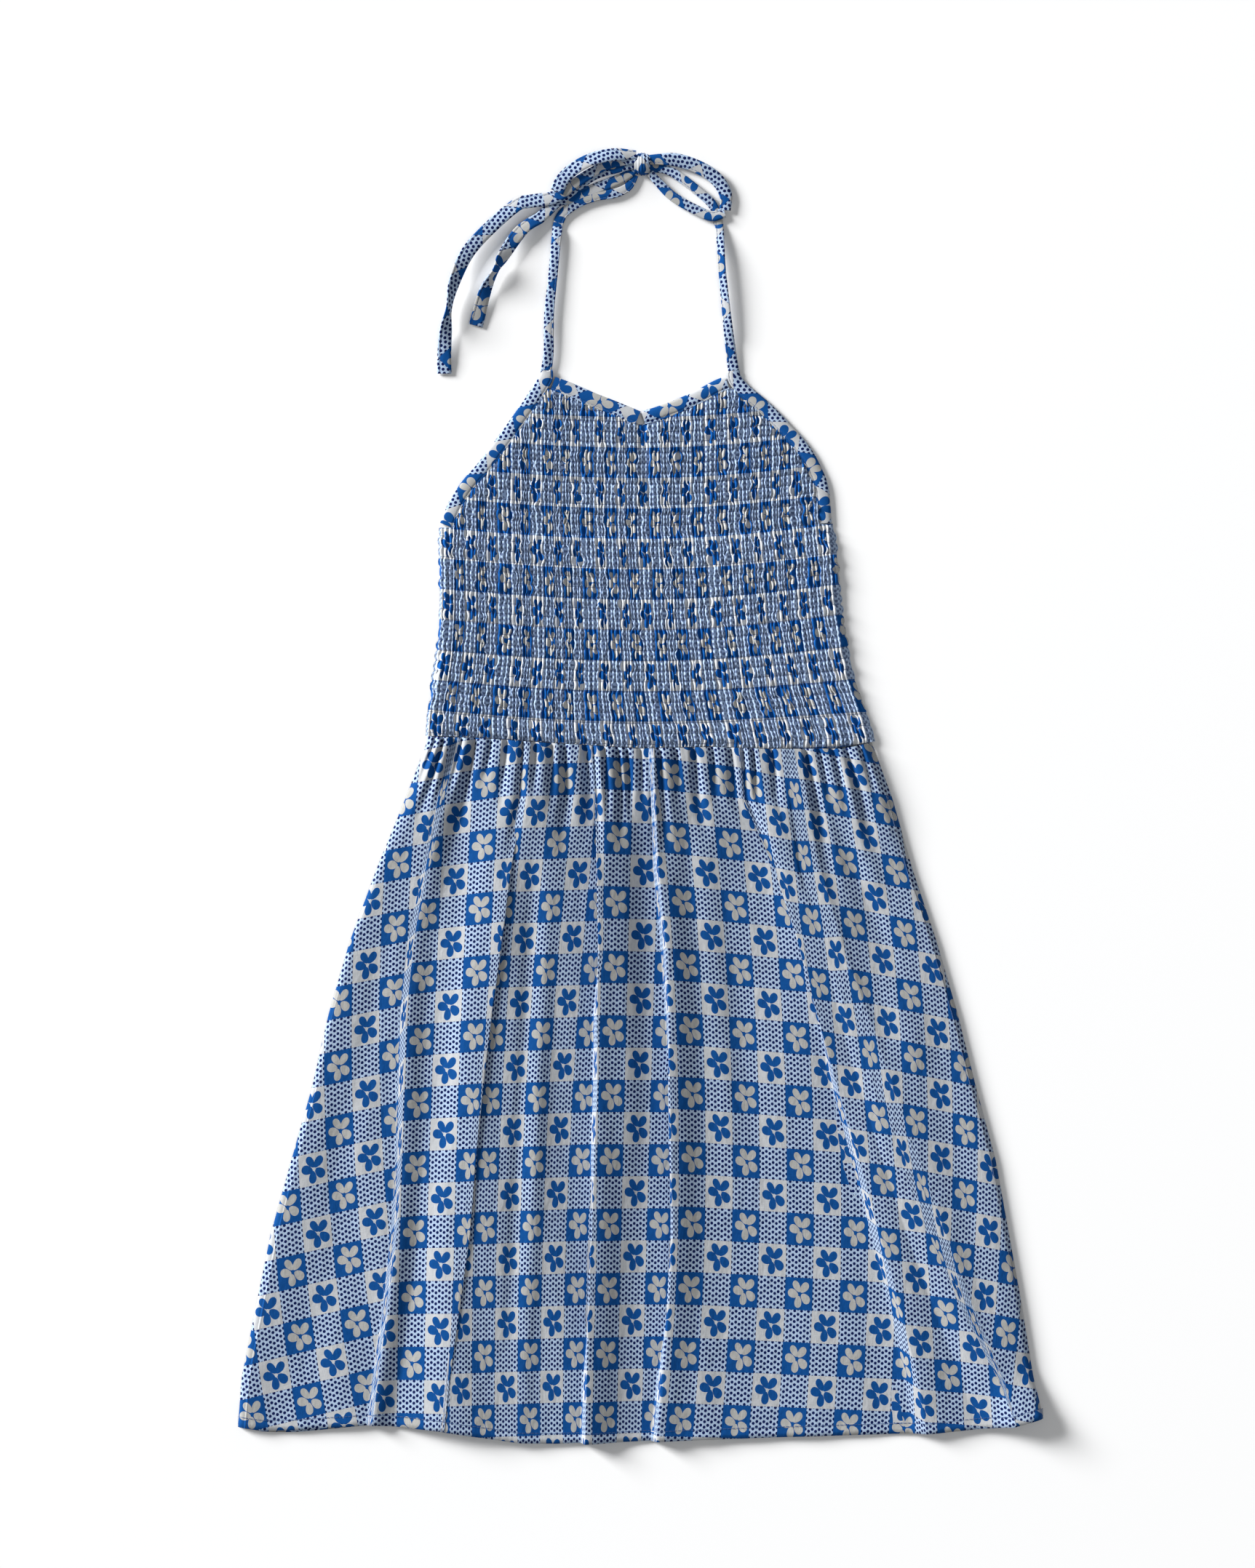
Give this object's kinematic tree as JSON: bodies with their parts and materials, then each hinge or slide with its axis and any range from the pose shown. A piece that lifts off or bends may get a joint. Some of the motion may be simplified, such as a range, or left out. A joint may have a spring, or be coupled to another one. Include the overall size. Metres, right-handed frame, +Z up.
{
  "type": "halter-neck cotton sundress",
  "caption": "Girl's halter-neck sundress in blue and off-white checked flower print with a shirred bodice and gathered A-line skirt, laid flat with its ties in a bow.",
  "frame": {"origin": "middle of the dress's length and width, on the surface that it lies on", "axes": "+Z up out of the front of the dress, +Y from the hem to the bow, +X to the wearer's left"},
  "size_m": [0.5564, 0.889, 0.0141],
  "materials": {
    "printed_cotton": "matte",
    "bias_cotton": "matte"
  },
  "bodies": {
    "root": {"skirt_back": "printed_cotton", "back_bodice": "printed_cotton", "skirt_front": "printed_cotton", "front_bodice": "printed_cotton", "armhole_binding_left": "bias_cotton", "armhole_binding_right": "bias_cotton", "neckline_binding_left": "bias_cotton", "neckline_binding_right": "bias_cotton", "tie_left_strap": "bias_cotton", "tie_left_top": "bias_cotton", "bow_loop_left_upper": "bias_cotton", "bow_loop_left_lower": "bias_cotton", "tie_end_short_inner": "bias_cotton", "tie_end_long_inner": "bias_cotton", "tie_end_long": "bias_cotton", "tie_end_short": "bias_cotton", "tie_right_strap": "bias_cotton", "tie_right_top": "bias_cotton", "bow_loop_right_upper": "bias_cotton", "bow_loop_right_lower": "bias_cotton", "bow_knot": "bias_cotton"}
  },
  "joints": []
}
